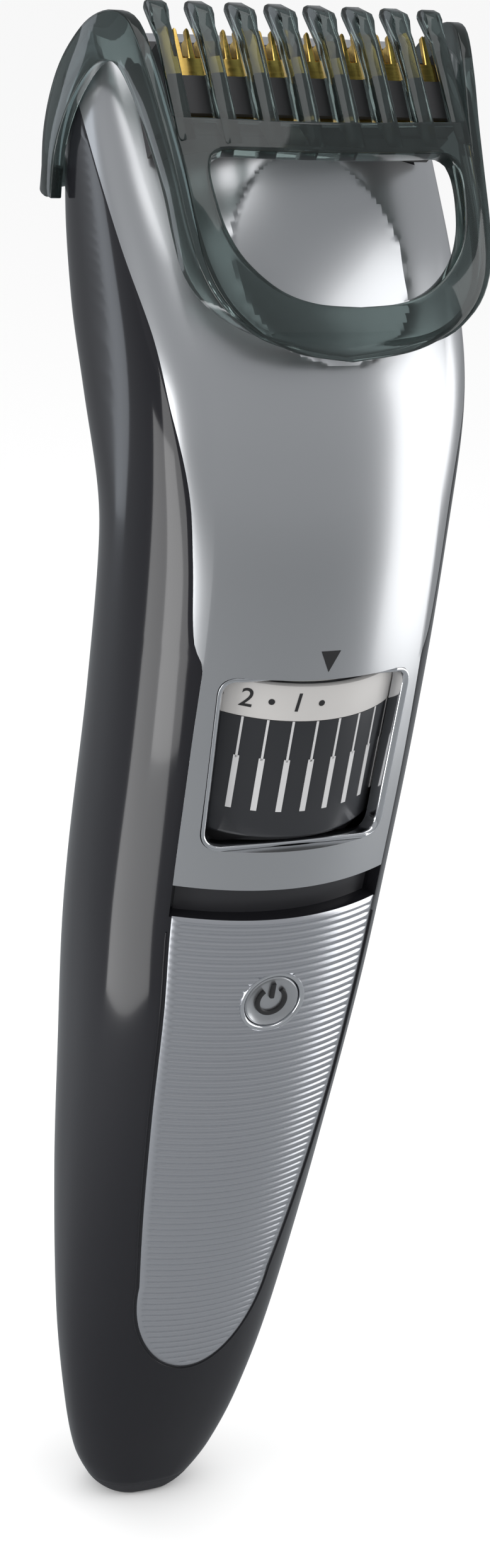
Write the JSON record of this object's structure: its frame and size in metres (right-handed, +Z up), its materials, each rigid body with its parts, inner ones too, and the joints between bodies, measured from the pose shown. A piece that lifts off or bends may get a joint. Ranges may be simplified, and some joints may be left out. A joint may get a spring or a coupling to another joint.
{
  "type": "beard trimmer",
  "caption": "Cordless beard trimmer with a curved handle, zoom wheel, sliding hair comb, toothed blade and ridged grip panel.",
  "frame": {"origin": "Centre of the charging socket's mouth, at the foot of the handle.", "axes": "+Z up the handle to the blades, front with wheel and button facing -Y, +X to the right seen from the front, symmetric about X = 0."},
  "size_m": [0.0396, 0.0432, 0.1729],
  "materials": {
    "gloss_black": "gloss",
    "satin_silver": "satin metallic lacquer",
    "ridged_silver": "satin metallic lacquer on fine ridges",
    "matte_black": "matte",
    "bright_rim": "polished",
    "button_silver": "satin",
    "dark_moulding": "moulded",
    "board_green": "solder resist",
    "cell_wrap": "shrink wrap",
    "bright_steel": "plain",
    "motor_steel": "plated",
    "white_moulding": "moulded acetal",
    "wheel_black": "satin",
    "ring_grey": "satin",
    "inlay_grey": "satin",
    "smoke_comb": "clear smoke tint",
    "gold_blade": "titanium nitride coat",
    "seal_rubber": "soft"
  },
  "bodies": {
    "handle": {"back_shell": "gloss_black", "front_housing": "satin_silver", "grip_panel": "ridged_silver", "waist_band": "matte_black", "dial_bezel": "bright_rim", "button_switch": "dark_moulding", "circuit_board": "board_green", "battery_cell": "cell_wrap", "battery_contacts": "bright_steel", "charging_socket": "dark_moulding", "socket_pins": "bright_steel", "bottom_cap": "matte_black", "motor_can": "motor_steel", "motor_mount": "dark_moulding", "lever_axle": "bright_steel", "lever_bracket": "dark_moulding", "housing_screw": "bright_steel", "detent_spring": "bright_steel", "fixed_blade": "gold_blade", "blade_holder": "matte_black", "blade_springs": "bright_steel", "head_seal": "seal_rubber"},
    "button": {"power_button": "button_silver"},
    "rotor": {"motor_shaft": "bright_steel", "eccentric_pin": "white_moulding"},
    "lever": {"drive_lever": "white_moulding"},
    "cutter": {"moving_blade": "gold_blade"},
    "wheel": {"zoom_wheel": "wheel_black", "climbing_track": "white_moulding", "number_ring": "ring_grey", "wheel_inlays": "inlay_grey"},
    "comb": {"hair_comb": "smoke_comb", "comb_carriage": "dark_moulding"}
  },
  "joints": [
    {"name": "wheel_turn", "type": "hinge", "parent": "handle", "child": "wheel", "pos_m": [0, -0.0062, 0.104], "axis": [0, -0.0872, 0.9962], "range_deg": [0, 195.7]},
    {"name": "comb_slide", "type": "slide", "parent": "handle", "child": "comb", "axis": [0, 0, 1], "range_m": [0, 0.0095]},
    {"name": "button_press", "type": "slide", "parent": "handle", "child": "button", "axis": [0, 1, 0], "range_m": [0, 0.0006], "stiffness_N_per_m": 900, "springref_m": -0.0004},
    {"name": "lever_swing", "type": "hinge", "parent": "handle", "child": "lever", "pos_m": [0, -0.00405, 0.14016], "axis": [0, 0.9851, -0.1719], "range_deg": [-2.4, 2.4]},
    {"name": "cutter_slide", "type": "slide", "parent": "handle", "child": "cutter", "axis": [1, 0, 0], "range_m": [-0.001, 0.001]},
    {"name": "motor_spin", "type": "hinge", "parent": "handle", "child": "rotor", "pos_m": [0, -0.0062, 0.104], "axis": [0, -0.0872, 0.9962], "continuous": true}
  ],
  "couplings": [
    {"joint": "comb_slide", "follows": "wheel_turn", "m_per_rad": 0.0027812},
    {"joint": "cutter_slide", "follows": "lever_swing", "m_per_rad": 0.0235}
  ]
}
